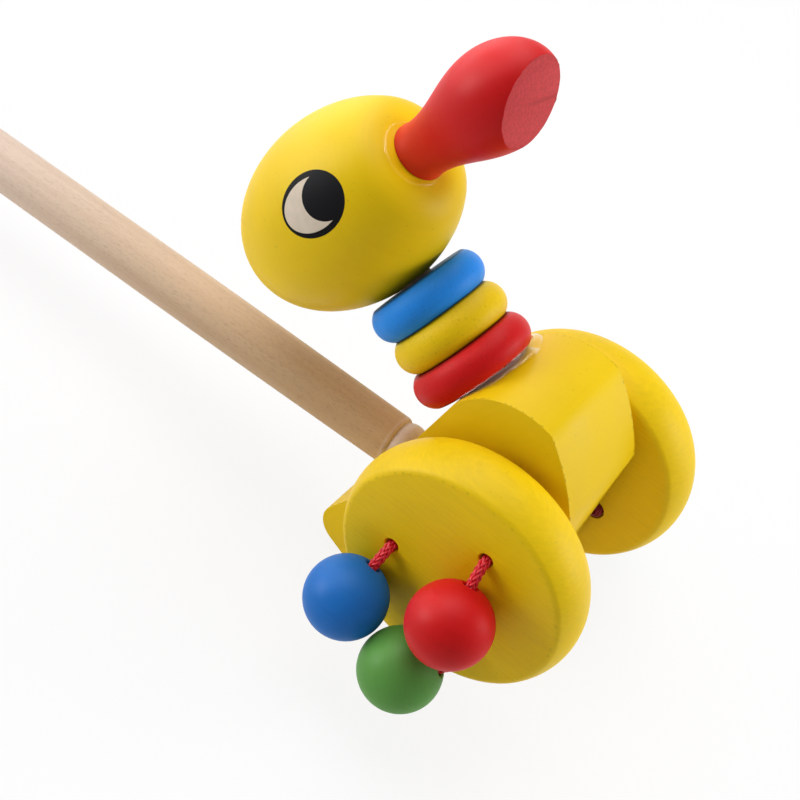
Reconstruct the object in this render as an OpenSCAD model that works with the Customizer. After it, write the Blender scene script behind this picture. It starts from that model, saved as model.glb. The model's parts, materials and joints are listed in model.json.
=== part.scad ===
// Toddler push toy: a wooden duck on two wheels, with a push stick.
// It lies as it is put down, on its tail and on the knob of its stick, so the duck leans back and
// its wheels are just off the floor.
// Origin on the floor under the middle of the axle, +X away from the knob, +Y along the axle
// to the duck's left wheel, +Z up. Millimetres.

/* [Wheels and axle] */
// Diameter at the middle of a wheel's rounded rim
wheel_d = 77; // [72:0.5:84]
// Diameter of a wheel's flat faces
wheel_face_d = 71; // [66:0.5:71.5]
// Thickness of a wheel
wheel_t = 18.5; // [15:0.5:24]
// Gap between the body and each wheel
side_gap = 4.45; // [3.6:0.05:8]
// Diameter of the axle dowel
axle_d = 10; // [7:0.5:14]
// Depth of the blind socket for the axle in each wheel
axle_seat = 13; // [8:0.5:14]
// Radial running clearance of the axle in the body
axle_play = 0.08; // [0.02:0.01:0.1]

/* [Body] */
// Width of the body block
body_w = 38.5; // [32:0.5:40]
// Height of the neck seat over the axle
seat_h = 38.7; // [36:0.1:44]
// Radius of the chest
chest_r = 23.6; // [21:0.1:25]
// Centre of the chest ahead of the axle
chest_x = 20.2; // [18:0.1:24]
// Angle on the chest where the breast is planed off
crease_a = 8; // [0:1:30]
// Swell of the planed breast
breast_bow = 1.5; // [0.2:0.1:3]
// Radius of the belly
belly_r = 39.6; // [37:0.1:43]
// Centre of the belly behind the axle
belly_x = 23.3; // [20:0.1:26]
// Centre of the belly over the axle
belly_z = 14.4; // [11:0.1:16]
// Radius of the tail's tip
tail_r = 8.7; // [5:0.1:10]
// Height of the tail's tip over the axle
tail_h = 28.9; // [27:0.1:32]
// Lowest place of the back before the tail, behind the axle
dip_x = 42; // [38:0.5:48]
// Height of that place over the axle
dip_h = 28.2; // [26.5:0.1:30]

/* [Neck and head] */
// Diameter of the neck dowel
neck_d = 10; // [7:0.5:14]
// Neck dowel ahead of the axle
neck_x = 17.5; // [15:0.1:21]
// Depth of the neck dowel in the body
neck_seat = 20; // [12:0.5:24]
// Depth of the neck dowel in the head
neck_top = 24; // [14:0.5:32]
// Outer diameter of the yellow and of the blue neck ring
ring_d = 36.6; // [30:0.1:44]
// Outer diameter of the red neck ring
red_d = 38.4; // [30:0.1:44]
// Thickness of a neck ring
ring_t = 10.9; // [8:0.1:14]
// By how much the radius of a ring's bowed rim is larger than half its thickness
ring_bow = 0.9; // [0.1:0.1:3]
// Radial play of a loose ring on the neck dowel
ring_play = 0.1; // [0.05:0.01:0.3]
// Gap between stacked rings, and over the topmost one
ring_gap = 0.15; // [0.1:0.01:0.5]
// How far to the right of the dowel the red ring is glued
red_off = 0.7; // [0:0.1:2]
// Half length of the egg-shaped head
head_l = 40; // [36:0.1:45]
// Half thickness of the head
head_r = 27.8; // [25:0.1:32]
// Centre of the head ahead of the axle
head_x = 13.3; // [10:0.1:18]
// Depth by which the front of the egg is turned off flat for the beak
head_flat = 6.9; // [5:0.1:8]
// Radius of that flat
head_flat_r = 9.8; // [9:0.1:12]

/* [Beak] */
// Radius of the plug that sits in the head
beak_plug_r = 6; // [4:0.1:7]
// Depth of the plug's socket in the head
beak_seat = 10; // [6:0.5:14]
// Radius of the beak's foot on the head's flat
beak_foot_r = 8.4; // [8.2:0.1:10]
// Radius of the waist over the foot
beak_waist_r = 8.1; // [7:0.1:8.2]
// Largest radius of the beak
beak_r = 13.8; // [11:0.1:17]
// Distance of the thickest place from the foot
beak_swell = 32.3; // [26:0.1:38]
// Length of the rounded nose past the thickest place
beak_nose = 18.6; // [16:0.1:24]
// Height of the beak's foot over the middle of the head
beak_rise = 0.2; // [-1:0.1:1.5]
// Droop of the beak
beak_droop = 2.65; // [0:0.05:5]
// Angle between the beak and the normal of its flat cut
cut_a = 49.9; // [40:0.1:60]
// Distance of the flat cut from the middle of the foot, along its normal
cut_h = 30.6; // [28:0.1:34]
// Turn of the flat cut about the beak, to the right side
cut_turn = 11.3; // [-15:0.1:15]

/* [Stick] */
// Diameter of the stick
stick_d = 18; // [15:0.5:20]
// Length of the stick from the body to the knob
stick_l = 420; // [300:10:560]
// Angle of the stick over the horizontal when the neck is upright
stick_a = 61.7; // [56:0.1:66]
// Distance of the stick's centre line from the axle
stick_off = 11.5; // [9:0.1:13]
// Height of the stick's seat over the foot of its centre line
stick_seat = 38.1; // [36.5:0.1:40]
// Diameter of the tenon in the body
tenon_d = 12; // [8:0.5:14]
// Depth of the tenon's hole
tenon_l = 22; // [14:0.5:24]
// Length of the turned collar
collar_l = 5.9; // [4:0.1:8]
// Swell of the collar over the groove
collar_bow = 0.8; // [0.2:0.1:1.2]
// Diameter of the groove between collar and stick
groove_d = 15.1; // [13.5:0.1:15.5]
// Length of the rounded shoulder from the groove to the full stick
shoulder_l = 2.4; // [1:0.1:5]
// Swell of that shoulder
shoulder_bow = 0.3; // [0.1:0.1:0.5]
// Diameter of the ball knob
knob_d = 35; // [30:0.5:44]
// Diameter of the tenon in the knob
knob_tenon_d = 11; // [8:0.5:13]
// Depth of the hole in the knob
knob_seat = 18; // [12:0.5:20]

/* [Beads and cords] */
// Diameter of a bead
bead_d = 25; // [20:0.5:25.5]
// Diameter of the blind hole in a bead
bead_bore_d = 4.4; // [4:0.1:6]
// Depth of that hole
bead_bore_l = 17; // [12:0.5:18]
// Depth of the flat round the mouth of a bead's hole
bead_flat = 0.35; // [0.2:0.05:0.8]
// Diameter of the circle of cord holes on a wheel
hole_circle_d = 37.6; // [36:0.2:44]
// Diameter of a cord hole in a wheel
hole_d = 4.4; // [4:0.1:5.4]
// Diameter of a cord
cord_d = 3; // [2:0.1:3.4]
// Free cord between the mouth of a hole and the bead
cord_free = 7; // [5:0.1:9]
// Diameter of a cord's knot
knot_d = 6.4; // [5.6:0.1:7]
// Turn of the right wheel: its red bead's hole from the top, towards the knob
right_turn = -22; // [-60:1:60]
// Turn of the left wheel
left_turn = 0; // [-60:1:60]
// Clearance of a bead from the wheel's face
bead_gap = 0.3; // [0.2:0.05:0.6]

/* [Joints] */
// Radial gap for glue in a socket
glue = 0.1; // [0.02:0.01:0.2]

/* [Hidden] */
$fn = 96;

yellow = [0.93, 0.77, 0.12];
red = [0.80, 0.10, 0.10];
blue = [0.09, 0.35, 0.70];
green = [0.22, 0.50, 0.18];
beech = [0.83, 0.68, 0.50];
birch = [0.87, 0.76, 0.60];
// Margin by which a cutting tool passes the surface that it cuts
past = 1;
wheel_r = wheel_d / 2;
wheel_gap = body_w + 2 * side_gap;
bead_r = bead_d / 2;
knob_r = knob_d / 2;

// Points of an arc about c, and of a shallow curve from p to q that swells to the right
function arc(c, r, from, to, steps) =
    [for (i = [0:steps]) let (a = from + (to - from) * i / steps) c + r * [cos(a), sin(a)]];
function bowed(p, q, bow, steps) =
    let (way = q - p, out = [way.y, -way.x] / norm(way))
    [for (i = [0:steps]) let (t = i / steps) p + way * t + out * (4 * bow * t * (1 - t))];

// The stick's stations, counted along its centre line from the point nearest the axle
groove_s = stick_seat + collar_l;
shoulder_s = groove_s + shoulder_l;
knob_face_s = stick_seat + stick_l;
knob_lip = 0.8;
knob_flat_r = stick_d / 2 + knob_lip;
knob_s = knob_face_s + sqrt(knob_r * knob_r - knob_flat_r * knob_flat_r);
// How far the neck leans back, and how high the axle then is, when belly and knob touch the floor
belly_c = [-belly_x, belly_z];
knob_c = knob_s * [-cos(stick_a), sin(stick_a)] - stick_off * [sin(stick_a), cos(stick_a)];
to_knob = knob_c - belly_c;
lean = atan2(to_knob.x, to_knob.y) + acos((knob_r - belly_r) / norm(to_knob));
axle_h = belly_r - belly_c * [sin(lean), cos(lean)];

// Carries a piece from the duck's own frame (axle at the origin, neck upright) to where it lies
module lying() {
    translate([0, 0, axle_h]) rotate([0, -lean, 0]) children();
}
module on_stick() {
    translate([-stick_off * sin(stick_a), 0, -stick_off * cos(stick_a)])
        rotate([0, stick_a - 90, 0]) children();
}
// Carries a piece to a wheel's inner face, with the wheel's outward side along +Z
module on_wheel(side) {
    translate([0, side * wheel_gap / 2, axle_h]) rotate([-90 * side, 0, 0]) children();
}
// Turns +Z along the unit vector v
module along(v) {
    rotate([0, acos(v.z), atan2(v.y, v.x)]) children();
}

// Outline of the body: chest, back, tail, belly and planed breast
chest_c = [chest_x, seat_h - chest_r];
tail_c = [-belly_x - belly_r + tail_r, tail_h - tail_r];
to_chest = chest_c - belly_c;
tangent_a = atan2(to_chest.y, to_chest.x) - acos((belly_r - chest_r) / norm(to_chest));
breast_top = chest_c + chest_r * [cos(crease_a), sin(crease_a)];
breast_foot = chest_c + chest_r * [cos(tangent_a), sin(tangent_a)];
chest_steps = 14;
tail_steps = 10;
belly_steps = 28;
breast_steps = 8;
breast = bowed(breast_foot, breast_top, breast_bow, breast_steps);
body_outline = concat(
    arc(chest_c, chest_r, crease_a, 90, chest_steps),
    [[-dip_x, dip_h]],
    arc(tail_c, tail_r, 90, 180, tail_steps),
    arc(belly_c, belly_r, 180, 360 + tangent_a, belly_steps),
    [for (i = [0:breast_steps - 1]) breast[i]]);

module body_block() {
    color(yellow) lying() difference() {
        rotate([90, 0, 0]) linear_extrude(body_w, center = true) polygon(body_outline);
        rotate([90, 0, 0]) cylinder(d = axle_d + 2 * axle_play, h = body_w + 2 * past, center = true);
        translate([neck_x, 0, seat_h - neck_seat]) cylinder(d = neck_d + 2 * glue, h = neck_seat + past);
        on_stick() {
            translate([0, 0, stick_seat - tenon_l]) cylinder(d = tenon_d + 2 * glue, h = tenon_l + past);
            translate([0, 0, stick_seat]) cylinder(d = stick_d, h = shoulder_s);
        }
    }
}

// The stack on the neck: red ring on the seat, then yellow, then blue, then the head
red_z = seat_h + glue;
yellow_z = red_z + ring_t + ring_gap;
blue_z = yellow_z + ring_t + ring_gap;
head_z = blue_z + ring_t + ring_gap + head_r;

module neck_dowel() {
    foot = seat_h - neck_seat + glue;
    color(birch) lying() translate([neck_x, 0, foot])
        cylinder(d = neck_d, h = head_z - head_r + neck_top - foot - glue);
}
// A flat ring with a bowed rim; the red one has a wider bore, so it can sit off the middle
bow_r = ring_t / 2 + ring_bow;
module ring(z, d, play, off) {
    lying() translate([neck_x, -off, z]) difference() {
        rotate_extrude() intersection() {
            square([d / 2, ring_t]);
            union() {
                square([d / 2 - bow_r, ring_t]);
                translate([d / 2 - bow_r, ring_t / 2]) circle(r = bow_r);
            }
        }
        translate([0, 0, -past]) cylinder(d = neck_d + 2 * play, h = ring_t + 2 * past);
    }
}
module ring_red() {
    color(red) ring(red_z, red_d, red_off + glue, red_off);
}
module ring_yellow() {
    color(yellow) ring(yellow_z, ring_d, ring_play, 0);
}
module ring_blue() {
    color(blue) ring(blue_z, ring_d, ring_play, 0);
}

// Outline of the head: the egg from its back, a soft turn, and the flat that takes the beak
head_steps = 36;
turn_steps = 8;
turn_run = 5;
turn_pull = 0.6;
flat_x = head_l - head_flat;
turn_a = asin((flat_x - turn_run) / head_l);
turn_from = [head_r * cos(turn_a), head_l * sin(turn_a)];
turn_mid = turn_from + turn_run * [-head_r * tan(turn_a) / head_l, 1];
turn_to = [head_flat_r, flat_x];
head_outline = concat(
    [for (i = [0:head_steps]) let (a = -90 + (90 + turn_a) * i / head_steps)
        [i == 0 ? 0 : head_r * cos(a), head_l * sin(a)]],
    [for (i = [1:turn_steps]) between(turn_from, turn_from + turn_pull * (turn_mid - turn_from),
        turn_to + turn_pull * (turn_mid - turn_to), turn_to, i / turn_steps)],
    [[0, flat_x]]);

module on_beak() {
    translate([head_x + flat_x, 0, head_z + beak_rise]) rotate([0, beak_droop, 0]) children();
}
module head() {
    color(yellow) lying() difference() {
        translate([head_x, 0, head_z]) rotate([0, 90, 0]) rotate_extrude() polygon(head_outline);
        translate([neck_x, 0, head_z - head_r - past]) cylinder(d = neck_d + 2 * glue, h = neck_top + past);
        on_beak() rotate([0, 90, 0])
            translate([0, 0, -beak_seat]) cylinder(r = beak_plug_r + glue, h = beak_seat + past);
    }
}

// Radius of the turned beak: a foot, a waist that flares to the swell, then a rounded nose
foot_l = 0.6;
waist_s = 2.9;
flare_steps = 18;
nose_steps = 16;
beak_outline = concat(
    [[0, -past], [beak_foot_r, -past], [beak_foot_r, foot_l]],
    [for (i = [0:flare_steps]) let (u = i / flare_steps)
        [beak_waist_r + (beak_r - beak_waist_r) * (1 - cos(180 * u)) / 2,
            waist_s + (beak_swell - waist_s) * u]],
    [for (i = [1:nose_steps]) let (a = 90 * i / nose_steps)
        [i == nose_steps ? 0 : beak_r * cos(a), beak_swell + beak_nose * sin(a)]]);

// The foot is cut at a slant, so the drooping beak stands square on the head's flat
module beak() {
    tool = 4 * beak_r;
    color(red) lying() union() {
        difference() {
            on_beak() rotate([0, 90, 0]) rotate_extrude() polygon(beak_outline);
            on_beak() rotate([-cut_turn, 0, 0]) rotate([0, cut_a, 0])
                translate([cut_h, -tool / 2, -tool / 2]) cube(tool);
            translate([head_x + flat_x + glue - tool, -tool / 2, head_z - tool / 2]) cube(tool);
        }
        on_beak() rotate([0, 90, 0])
            translate([0, 0, glue - beak_seat]) cylinder(r = beak_plug_r, h = beak_seat + waist_s);
    }
}

// The stick is turned in one piece: tenon, collar, groove, shoulder, shaft and knob tenon
tenon_r = tenon_d / 2;
tenon_bevel = 1;
groove_flat = 0.2;
collar_steps = 8;
shoulder_steps = 6;
stick_outline = concat(
    [[0, stick_seat - tenon_l + glue], [tenon_r - tenon_bevel, stick_seat - tenon_l + glue],
        [tenon_r, stick_seat - tenon_l + glue + tenon_bevel], [tenon_r, stick_seat + glue]],
    bowed([groove_d / 2, stick_seat + glue], [groove_d / 2, groove_s], collar_bow, collar_steps),
    bowed([groove_d / 2, groove_s + groove_flat], [stick_d / 2, shoulder_s], shoulder_bow, shoulder_steps),
    [[stick_d / 2, knob_face_s], [knob_tenon_d / 2, knob_face_s],
        [knob_tenon_d / 2, knob_face_s + knob_seat - glue], [0, knob_face_s + knob_seat - glue]]);

module stick() {
    color(beech) lying() on_stick() rotate_extrude() polygon(stick_outline);
}
module stick_knob() {
    color(beech) lying() on_stick() difference() {
        translate([0, 0, knob_s]) sphere(r = knob_r);
        translate([0, 0, knob_face_s + glue - knob_d]) cylinder(r = knob_r, h = knob_d);
        translate([0, 0, knob_face_s]) cylinder(d = knob_tenon_d + 2 * glue, h = knob_seat);
    }
}

module axle() {
    color(birch) translate([0, 0, axle_h]) rotate([90, 0, 0])
        cylinder(d = axle_d, h = wheel_gap + 2 * (axle_seat - glue), center = true);
}

// A cord's knot sits in a counterbore on the wheel's inner face, its flat side on the floor of it
knot_r = knot_d / 2;
knot_flat = 2;
knot_sink = 2.5;
knot_room = 0.4;
knot_sides = 48;
rim_sag = (wheel_d - wheel_face_d) / 2;
rim_r = (wheel_t * wheel_t / 4 + rim_sag * rim_sag) / (2 * rim_sag);
hole_spread = 120;

// Carries a piece to the cord holes of a wheel; the first is the red bead's
module at_holes(side, turn) {
    for (i = [0:2]) {
        a = turn + hole_spread * i;
        on_wheel(side) translate([-sin(a), -side * cos(a), 0] * hole_circle_d / 2) children();
    }
}
module wheel(side, turn) {
    difference() {
        on_wheel(side) rotate_extrude() intersection() {
            square([wheel_r, wheel_t]);
            union() {
                square([wheel_face_d / 2, wheel_t]);
                translate([wheel_r - rim_r, wheel_t / 2]) circle(r = rim_r);
            }
        }
        on_wheel(side) translate([0, 0, -past]) cylinder(d = axle_d + 2 * glue, h = axle_seat + past);
        at_holes(side, turn) {
            translate([0, 0, -past]) cylinder(d = hole_d, h = wheel_t + 2 * past);
            translate([0, 0, -past]) cylinder(r = knot_r + knot_room, h = knot_sink + past);
        }
    }
}
module wheel_right() {
    color(yellow) wheel(-1, right_turn);
}
module wheel_left() {
    color(yellow) wheel(1, left_turn);
}

// A knot: a ball whose flat side, towards the wheel, lies on the floor of the counterbore
module knot() {
    translate([0, 0, knot_sink - knot_flat]) difference() {
        sphere(d = knot_d, $fn = knot_sides);
        translate([-knot_d, -knot_d, knot_flat]) cube(2 * knot_d);
    }
}
module knots_right() {
    color(red) at_holes(-1, right_turn) knot();
}
module knots_left() {
    color(red) at_holes(1, left_turn) knot();
}

// One bead on its cord: [wheel's side, turn of its hole from the top, sway of the cord from the plumb
// line towards the knob, extra stand-off from the wheel's face, turn of the bead about the plumb line]
right_red = [-1, right_turn, -9, 0, 0];
right_blue = [-1, right_turn + hole_spread, 7, 0, 0];
right_green = [-1, right_turn + 2 * hole_spread, 36, 2.2, -35];
left_red = [1, left_turn, 0, 0, 0];
left_blue = [1, left_turn + hole_spread, 0, 0, 0];
left_green = [1, left_turn + 2 * hole_spread, 0, 0, 0];

// A bead swings about a point on the hole's axis, just off the wheel's face
pivot_off = 0.8;
reach = bead_r + cord_free;
function outward(b) = [0, b[0], 0];
function pivot(b) = [-sin(b[1]) * hole_circle_d / 2,
    b[0] * (wheel_gap / 2 + wheel_t + pivot_off),
    axle_h + cos(b[1]) * hole_circle_d / 2];
function stand_off(b) = bead_r + bead_gap + b[3] - pivot_off;
function drop(b) = sqrt(reach * reach - stand_off(b) * stand_off(b));
function hang(b) = [-drop(b) * sin(b[2]), b[0] * stand_off(b), -drop(b) * cos(b[2])] / reach;
function bead_centre(b) = pivot(b) + reach * hang(b);
// The way that a bead's hole goes in
function bore(b) = let (way = hang(b), a = b[4])
    [way.x * cos(a) - way.y * sin(a), way.x * sin(a) + way.y * cos(a), way.z];

module bead(b) {
    translate(bead_centre(b)) along(bore(b)) difference() {
        sphere(d = bead_d);
        mirror([0, 0, 1]) translate([-bead_r, -bead_r, bead_r - bead_flat]) cube(bead_d);
        translate([0, 0, -bead_r - past]) cylinder(d = bead_bore_d, h = bead_bore_l + past);
    }
}

// A cord runs from its knot straight through most of the wheel, curves over the free stretch and
// goes straight into the bead, where it is glued
cord_sides = 8;
hole_steps = 2;
curve_steps = 6;
bead_steps = 2;
straight_off = 3;
handle = 0.4;
function between(a, b, c, d, t) =
    a * pow(1 - t, 3) + b * (3 * t * pow(1 - t, 2)) + c * (3 * t * t * (1 - t)) + d * pow(t, 3);
function cord_path(b) =
    let (out = outward(b), way = bore(b), centre = bead_centre(b),
        start = pivot(b) - out * (pivot_off + wheel_t - knot_sink - glue),
        leave = pivot(b) - out * straight_off,
        enter = centre - way * (bead_r - bead_flat),
        end = centre + way * (bead_bore_l - bead_r - glue),
        pull = handle * norm(enter - leave))
    concat(
        [for (i = [0:hole_steps - 1]) start + (leave - start) * i / hole_steps],
        [for (i = [0:curve_steps - 1])
            between(leave, leave + out * pull, enter - way * pull, enter, i / curve_steps)],
        [for (i = [0:bead_steps]) enter + (end - enter) * i / bead_steps]);
// Rings of the tube, square to the path; the path never runs along the X axis
function ring_points(path) =
    let (last = len(path) - 1)
    [for (i = [0:last])
        let (way = path[min(i + 1, last)] - path[max(i - 1, 0)],
            across = cross(way, [1, 0, 0]), flat = across / norm(across),
            up = cross(flat, way) / norm(way))
        for (k = [0:cord_sides - 1]) let (a = 360 * k / cord_sides)
            path[i] + cord_d / 2 * (cos(a) * up + sin(a) * flat)];
function tube_faces(rings) = concat(
    [[for (k = [0:cord_sides - 1]) k]],
    [for (i = [0:rings - 2], k = [0:cord_sides - 1], half = [0, 1])
        let (a = i * cord_sides + k, b = i * cord_sides + (k + 1) % cord_sides)
        half == 0 ? [a, a + cord_sides, b + cord_sides] : [a, b + cord_sides, b]],
    [[for (k = [cord_sides - 1:-1:0]) (rings - 1) * cord_sides + k]]);

module cord(b) {
    path = cord_path(b);
    color(red) polyhedron(ring_points(path), tube_faces(len(path)));
}

module bead_right_red() {
    color(red) bead(right_red);
}
module bead_right_blue() {
    color(blue) bead(right_blue);
}
module bead_right_green() {
    color(green) bead(right_green);
}
module bead_left_red() {
    color(red) bead(left_red);
}
module bead_left_blue() {
    color(blue) bead(left_blue);
}
module bead_left_green() {
    color(green) bead(left_green);
}

body_block();
neck_dowel();
ring_red();
ring_yellow();
ring_blue();
head();
beak();
stick();
stick_knob();
axle();
wheel_right();
wheel_left();
knots_right();
knots_left();
bead_right_red();
bead_right_blue();
bead_right_green();
bead_left_red();
bead_left_blue();
bead_left_green();
cord(right_red);  // cord_right_red
cord(right_blue);  // cord_right_blue
cord(right_green);  // cord_right_green
cord(left_red);  // cord_left_red
cord(left_blue);  // cord_left_blue
cord(left_green);  // cord_left_green
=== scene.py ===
# %% [markdown]
# # A wooden duck to push along
#
# This toy is a yellow wooden duck on two wheels. A stick goes into its back, and beads on short cords
# hang at the wheels, where they clack as the toy rolls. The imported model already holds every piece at
# its true place. This lesson dresses it: turned wood with soft edges, braided cords, satin paint with the
# marks of the lathe and the saw, a printed eye and the drops of glue that hold the beak and the neck.

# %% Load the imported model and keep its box
import json
import math

import bpy
import numpy as np
from mathutils import Matrix, Vector
from mathutils.geometry import interpolate_bezier


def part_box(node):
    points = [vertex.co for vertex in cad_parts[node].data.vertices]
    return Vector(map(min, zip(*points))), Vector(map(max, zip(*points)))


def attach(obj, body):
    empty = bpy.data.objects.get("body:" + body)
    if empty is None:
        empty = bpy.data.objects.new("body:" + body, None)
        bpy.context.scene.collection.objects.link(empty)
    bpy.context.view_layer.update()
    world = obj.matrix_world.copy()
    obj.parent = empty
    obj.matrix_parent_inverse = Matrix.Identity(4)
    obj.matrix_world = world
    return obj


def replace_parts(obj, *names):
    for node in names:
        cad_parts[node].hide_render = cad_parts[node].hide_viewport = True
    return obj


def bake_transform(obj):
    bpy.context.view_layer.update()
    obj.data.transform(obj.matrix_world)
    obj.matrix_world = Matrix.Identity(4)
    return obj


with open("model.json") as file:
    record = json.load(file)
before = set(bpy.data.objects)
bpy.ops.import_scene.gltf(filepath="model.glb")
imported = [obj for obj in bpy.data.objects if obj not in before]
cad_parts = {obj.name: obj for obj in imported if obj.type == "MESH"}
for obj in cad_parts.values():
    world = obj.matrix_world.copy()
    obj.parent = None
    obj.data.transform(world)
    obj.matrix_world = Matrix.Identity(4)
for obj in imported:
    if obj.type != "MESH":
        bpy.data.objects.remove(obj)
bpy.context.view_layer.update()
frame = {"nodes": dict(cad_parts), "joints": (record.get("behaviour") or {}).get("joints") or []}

# %% [markdown]
# The toy lies on its tail and on the knob of its stick, so the duck leans back and its wheels are just off
# the floor. Its own frame has the axle at the origin, X towards the nose, Y along the axle and Z up the
# neck. It can be read from the joints: the wheels turn about the axle, and the neck rings spin about the
# neck. A drawing in that frame, in millimetres, is easier to read than one that leans.

# %% Find the axle, the neck and the duck's own frame
MM = 0.001
JOINTS = {joint["name"]: joint for joint in frame["joints"]}
AXLE = Vector(JOINTS["wheels_roll"]["pos_m"])
NECK_UP = Vector(JOINTS["blue_ring_spin"]["axis"])
NOSE_WAY = Vector((NECK_UP.z, 0, -NECK_UP.x))
SIDE_WAY = Vector((0, 1, 0))


def frame_at(origin, x_way, y_way, z_way):
    """A matrix that carries a piece from the drawing board to its place on the toy."""
    return Matrix.Translation(origin) @ Matrix((x_way, y_way, z_way)).transposed().to_4x4()


DUCK = frame_at(AXLE, NOSE_WAY, SIDE_WAY, NECK_UP)


def on_duck(x, y, z):
    """A point in the duck's own frame, in millimetres, as a place on the toy."""
    return DUCK @ (MM * Vector((x, y, z)))


def duck_way(x, y, z):
    """A direction in the duck's own frame."""
    return (DUCK.to_3x3() @ Vector((x, y, z))).normalized()


print("The neck leans back by", round(math.degrees(math.atan2(-NECK_UP.x, NECK_UP.z)), 1), "degrees")

# %% [markdown]
# The camera stands close, above the right wheel, and looks down on the duck's side. It is rolled, so the
# stick runs to the upper left. A level camera is aimed first and then rolled about its own line of sight.

# %% Set the camera
CAMERA_AT = MM * Vector((53.48, -290.15, 369.03))
CAMERA_AIM = MM * Vector((-48.14, 0, 56.85))
CAMERA_ROLL = math.radians(23.125)
CAMERA_LENS = 64.72

bpy.ops.object.camera_add()
camera = bpy.context.object
camera.name = "camera"
camera.data.lens = CAMERA_LENS
level = (CAMERA_AIM - CAMERA_AT).to_track_quat("-Z", "Y").to_matrix().to_4x4()
camera.matrix_world = Matrix.Translation(CAMERA_AT) @ level @ Matrix.Rotation(CAMERA_ROLL, 4, "Z")
bpy.context.scene.camera = camera
print("The camera stands", round((CAMERA_AIM - CAMERA_AT).length, 3), "m from what it looks at")

# %% [markdown]
# Each bead hangs on a short braided cord. The cord starts at a knot on the wheel's inner face, runs
# through the wheel, bends down just outside it and goes into the bead, where it is glued. The route
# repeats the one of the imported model: straight, one smooth bend, straight. The joint of each bead gives
# the hole, and the box of the bead gives its middle. The hole is a little wider than the cord, so the cord
# lies on the lip of the hole on the bead's side.

# %% Route the six cords
# In millimetres: the bead's radius, how much its mouth is flattened, and the wheel's thickness
BEAD_R, BEAD_FLAT, WHEEL_T = 12.5, 0.35, 18.5
CORD_D = 3.0 * MM
PIVOT_OFF = 0.8 * MM
KNOT_SINK = 2.6 * MM
STRAIGHT_OFF = 3.0 * MM
MOUTH_DEPTH = (BEAD_R - BEAD_FLAT) * MM
BLIND_DEPTH = 4.4 * MM
BEND_PULL, BEND_POINTS = 0.4, 40
HOLE_REST = 0.45 * MM
BEAD_NAMES = [f"{side}_{paint}" for side in ("right", "left") for paint in ("red", "blue", "green")]
# The green bead of the right wheel leans on its neighbours and has turned a little on its cord
BEAD_ROLL = {"right_green": math.radians(-35)}


def bead_middle(bead):
    low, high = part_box(f"bead_{bead}")
    return (low + high) / 2


def cord_route(bead):
    """The hole's mouth in the wheel, the line of the cord, and the start and end of its bend."""
    pivot = Vector(JOINTS[f"{bead}_bead_swing"]["pos_m"])
    out = SIDE_WAY if bead.startswith("left") else -SIDE_WAY
    middle = bead_middle(bead)
    bore = Matrix.Rotation(BEAD_ROLL.get(bead, 0), 3, "Z") @ (middle - pivot).normalized()
    sag = middle - pivot
    sag = HOLE_REST * (sag - out * sag.dot(out)).normalized()
    knot = pivot + sag - out * (PIVOT_OFF + WHEEL_T * MM - KNOT_SINK)
    leave = pivot + sag - out * STRAIGHT_OFF
    enter = middle - bore * MOUTH_DEPTH
    pull = BEND_PULL * (enter - leave).length
    bend = interpolate_bezier(leave, leave + out * pull, enter - bore * pull, enter, BEND_POINTS)
    return {"mouth": pivot - out * PIVOT_OFF, "bore": bore, "out": out, "leave": leave, "enter": enter,
            "line": np.array([knot, *bend, middle + bore * BLIND_DEPTH])}


ROUTES = {bead: cord_route(bead) for bead in BEAD_NAMES}
for bead, route in ROUTES.items():
    route["length"] = float(np.linalg.norm(np.diff(route["line"], axis=0), axis=1).sum())
    print(f"cord of the {bead} bead: {route['length'] / MM:.1f} mm")

# %% [markdown]
# The cord is a round braid. Eight strands wind to the left and eight to the right, each over two and under
# two, which gives it long slanting stitches. With the angle and the radius of a strand written as functions
# of the length along the cord, the crossings come out right by themselves: where a right-hand strand rides
# out, the left-hand ones dip in. Every strand is a flattened tube, as broad as the room beside it allows, and
# a UV map keeps the length and the way round, so that the fibres of the yarn can follow it.

# %% Braid a cord along a line
BRAID_PITCH = 16.0 * MM
STRANDS = 8
STRAND_SIDES = 8
# Shares of the cord's thickness: the radius of a strand's middle line, its sway in and out, and half the
# height and half the width of the strand
BRAID_R, SWAY, STRAND_HIGH, STRAND_WIDE = 0.38, 0.09, 0.09, 0.135
RING_STEP = 0.3 * MM


def pick(*pieces):
    """Selects pieces and nothing else, and makes the first one active."""
    bpy.ops.object.select_all(action="DESELECT")
    for piece in pieces:
        piece.select_set(True)
    bpy.context.view_layer.objects.active = pieces[0]


def evenly(line, step):
    """Points at an even distance along a line, and their distances from its start."""
    line = np.asarray(line, float)
    at = np.concatenate([[0], np.cumsum(np.linalg.norm(np.diff(line, axis=0), axis=1))])
    stations = np.linspace(0, at[-1], max(2, round(at[-1] / step)) + 1)
    return np.stack([np.interp(stations, at, line[:, k]) for k in range(3)], 1), stations


def unit(vectors):
    return vectors / np.linalg.norm(vectors, axis=-1, keepdims=True)


def carried_ways(points):
    """Two directions square to a line at each of its points, carried along without twist."""
    along = unit(np.gradient(points, axis=0))
    first = np.cross(along[0], (0.3, 0.5, 0.8))
    ways = []
    for way in along:
        first = unit(first - way * np.dot(first, way))
        ways.append(first)
    ways = np.array(ways)
    return ways, np.cross(along, ways)


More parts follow.
